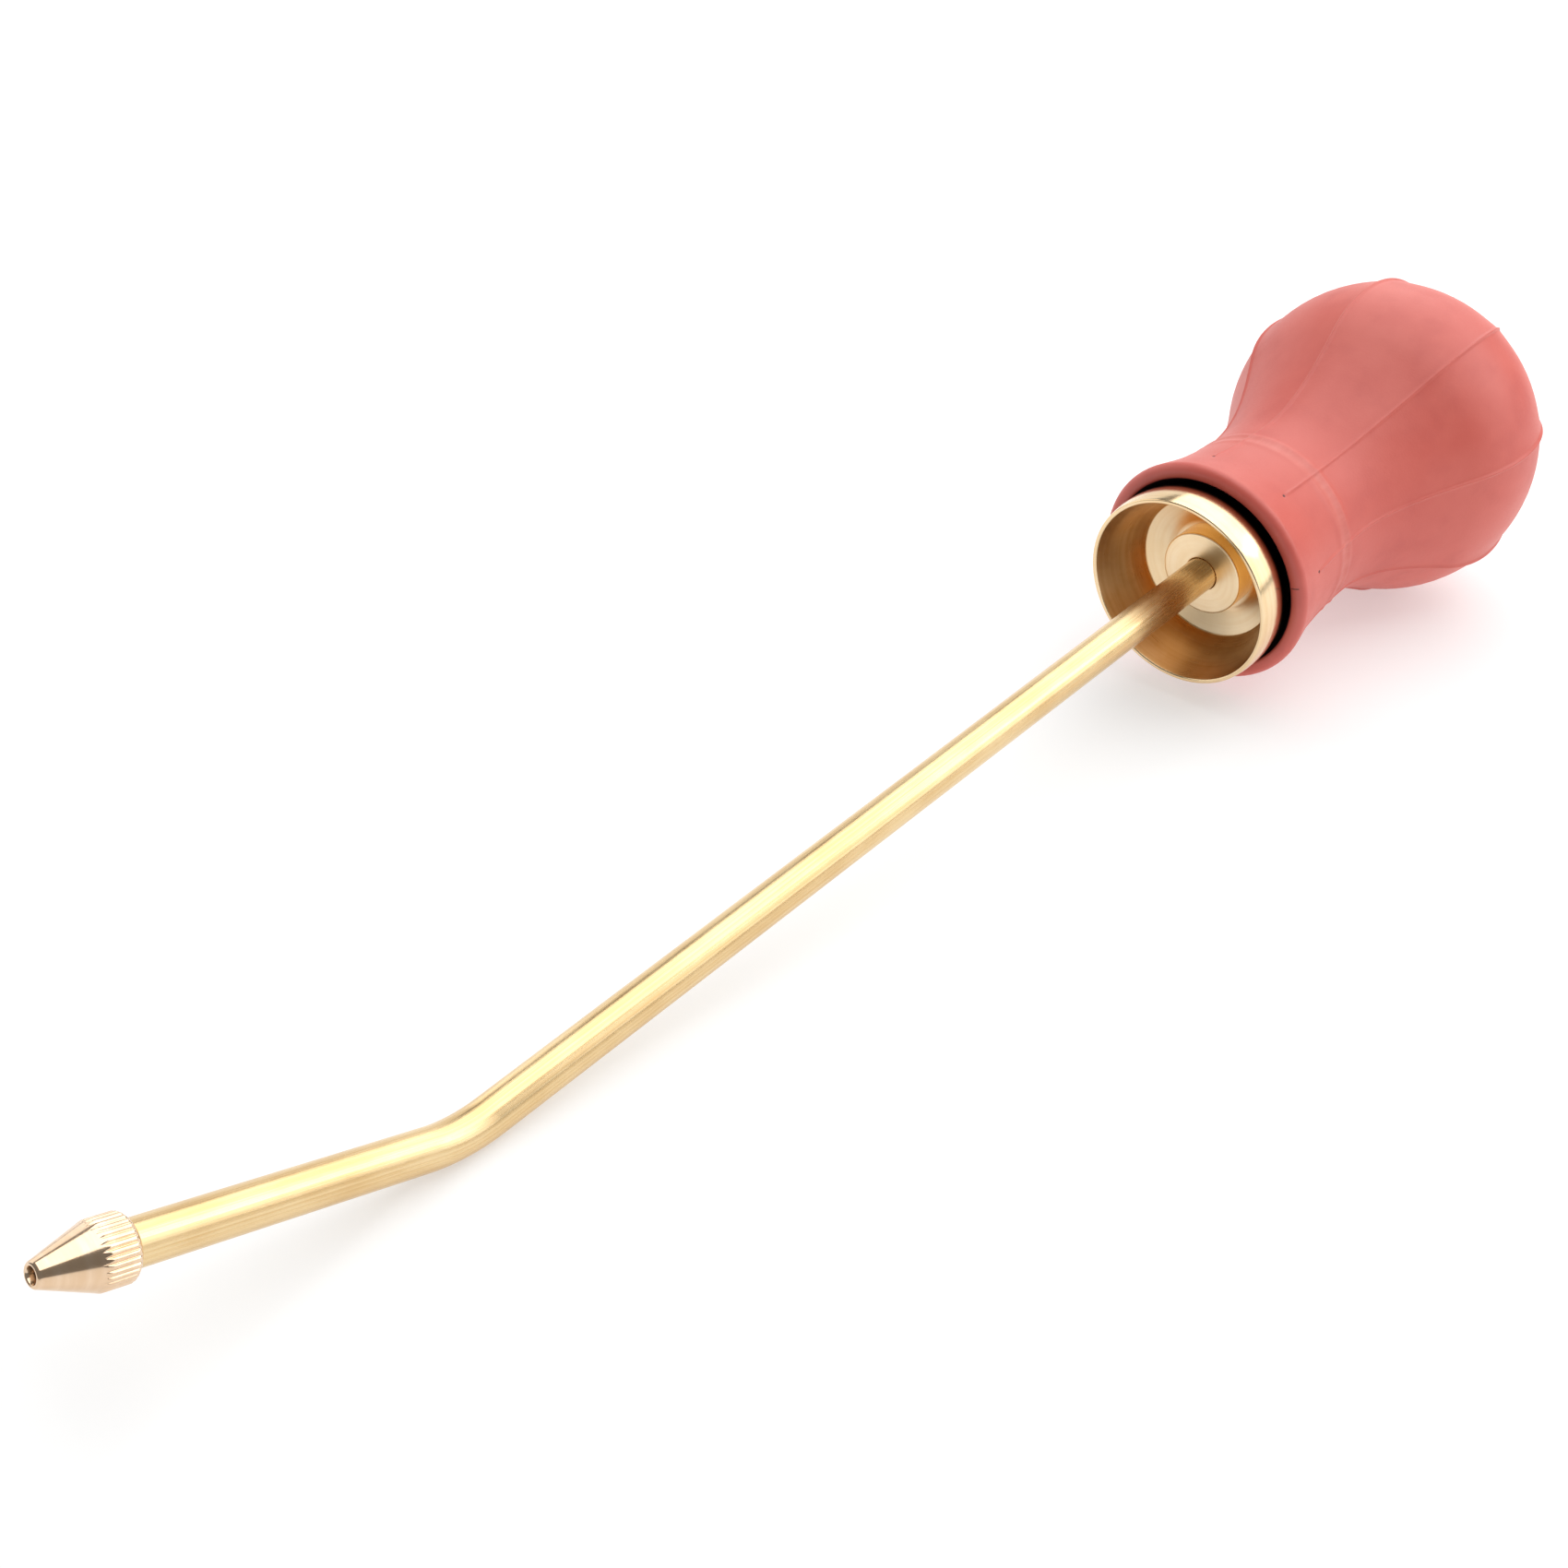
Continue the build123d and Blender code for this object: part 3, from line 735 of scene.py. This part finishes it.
def makeNozzle():
    back = tip["back"]
    coneAt = back + tip["collarLength"]
    tipAt = coneAt + tip["cone"]
    outline = [(back, tip["backInner"]), (back, tip["backOuter"])]
    for step in range(tip["steps"] + 1):
        # radius 0 stands for a ring that shape works out
        outline.append((back + 0.02 + (tipAt - 0.24 - back) * step / tip["steps"], 0))
    outline += [
        (tipAt - 0.1, tip["tip"] - 0.03), (tipAt, tip["tip"] - 0.18), (tipAt, tip["outlet"] + 0.12),
        (tipAt - 0.12, tip["outlet"]), (tipAt - tip["outletLength"], tip["outlet"]),
        (tip["step"], tip["funnel"]), (tip["step"], tip["bore"]), (back + 0.15, tip["bore"]),
        (back, tip["bore"] + 0.15),
    ]

    def shape(index, x, radius, turn):
        if radius > 0:
            return radius
        slope = (tip["collar"] - tip["tip"]) / tip["cone"]
        cone = tip["collar"] - (x - coneAt) * slope
        rear = tip["collar"] - tip["chamfer"] + (x - back)
        pitch = abs((turn * tip["teeth"] / fullTurn) % 1.0 - 0.5) * 2       # 0 in a groove, 1 on a tooth
        groove = tip["depth"] * (1 - ease(pitch, 0.0, tip["groove"]))
        tooth = tip["collar"] - groove - tip["toothCrown"] * (1 - pitch)
        return softLesser(softLesser(tooth, cone, tip["coneEase"]), rear, tip["rearEase"])

    material = turnedBrass("polishedBrass", tip["look"], 0.5, 11.0, tip["paintedShade"])
    turns = evenTurns(tip["teeth"] * tip["turnsPerTooth"])
    piece = lathe("nozzleCone", legLine, outline, turns, material, shape)
    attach(piece, "nozzle_cone")
    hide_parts("nozzle")


makeNozzle()
print("nozzle made")

smallBrass = machinedMetal("machinedBrass", rgb(222, 186, 118), rgb(188, 146, 84), 0.3)
blackRubber = plainSeal("blackSealRubber", rgb(26, 25, 25), rgb(48, 46, 45), 0.6)
redFibre = plainSeal("redFibre", rgb(126, 46, 34), rgb(150, 70, 52), 0.75)
springSteel = machinedMetal("springSteel", rgb(120, 122, 128), rgb(84, 88, 98), 0.34)
smallFinishes = {
    "gland_oring": blackRubber, "gland_gasket": redFibre, "gland_washer": smallBrass,
    "gland_nut": smallBrass, "thrust_washer": smallBrass, "tube_clip": springSteel,
    "nozzle_seal": blackRubber, "valve_body": smallBrass, "valve_disc": blackRubber,
    "valve_cage": smallBrass,
}
for nodeName, material in smallFinishes.items():
    for slot in frame["nodes"][nodeName].material_slots:
        slot.material = material
print("small pieces finished")

studio = {
    "floor": rgb(206, 206, 206), "mottle": rgb(200, 200, 200), "floorSize": 6.0, "glow": 0.44, "world": 0.22,
    "cameraPlace": (0.37912, 0.18884, 0.20526), "cameraAim": (-0.6201, -0.5755, -0.5332),
    "lens": 50.0, "sensor": 36.0, "nearest": 0.01, "lightAim": (0.05, 0, 0.03),
    # name: place, size, brightness
    "panels": {
        "topPanel": ((-0.28, 0.05, 0.8), (1.4, 1.4), 1.95),
        "rightPanel": ((-0.55, 0.8, 0.42), (0.9, 0.7), 1.5),
        "leftPanel": ((0.25, -0.9, 0.4), (0.9, 0.7), 1.1),
        "backPanel": ((-1.1, -0.9, 0.42), (2.4, 0.9), 0.85),
    },
}


def aimAt(holder, direction):
    holder.rotation_euler = Vector(direction).to_track_quat("-Z", "Y").to_euler()


def makeStage():
    # a pale bench that glows slightly, as a light table does
    size = studio["floorSize"] / 2
    mesh = bpy.data.meshes.new("bench")
    corners = [(-size, -size, 0), (size, -size, 0), (size, size, 0), (-size, size, 0)]
    mesh.from_pydata(corners, [], [(0, 1, 2, 3)])
    floor = putInScene("bench", mesh)
    finish = Finish("paleBench")
    mottle = finish.noise(finish.place(), 6.0, 3.0, 0.5)
    tone = finish.blendColour(finish.step(mottle, 0.3, 0.7), studio["mottle"], studio["floor"])
    finish.set(Base_Color=tone, Roughness=0.85 + (mottle - 0.5) * 0.05)
    finish.set(Emission_Color=(1, 1, 1, 1), Emission_Strength=studio["glow"])
    mesh.materials.append(finish.material)


def hangPanel(name, place, size, brightness):
    # an even soft panel facing the tool
    lamp = bpy.data.lights.new(name, "AREA")
    lamp.shape = "RECTANGLE"
    lamp.size, lamp.size_y = size
    lamp.energy = brightness * math.pi * size[0] * size[1]
    holder = putInScene(name, lamp)
    holder.location = place
    holder.visible_camera = False
    aimAt(holder, Vector(studio["lightAim"]) - Vector(place))


def makeWorld():
    world = bpy.data.worlds.new("tent")
    bpy.context.scene.world = world
    world.use_nodes = True
    backdrop = world.node_tree.nodes["Background"]
    backdrop.inputs["Color"].default_value = (1, 1, 1, 1)
    backdrop.inputs["Strength"].default_value = studio["world"]
    bpy.context.scene.view_settings.view_transform = "Standard"     # keeps the rubber's red from greying


def makeCamera():
    camera = bpy.data.cameras.new("benchCamera")
    camera.lens = studio["lens"]
    camera.sensor_width = studio["sensor"]
    camera.clip_start = studio["nearest"]
    holder = putInScene("benchCamera", camera)
    holder.location = studio["cameraPlace"]
    aimAt(holder, studio["cameraAim"])
    bpy.context.scene.camera = holder


makeStage()
makeWorld()
for panelName, (place, size, brightness) in studio["panels"].items():
    hangPanel(panelName, place, size, brightness)
makeCamera()
print("stage, lights and camera set")
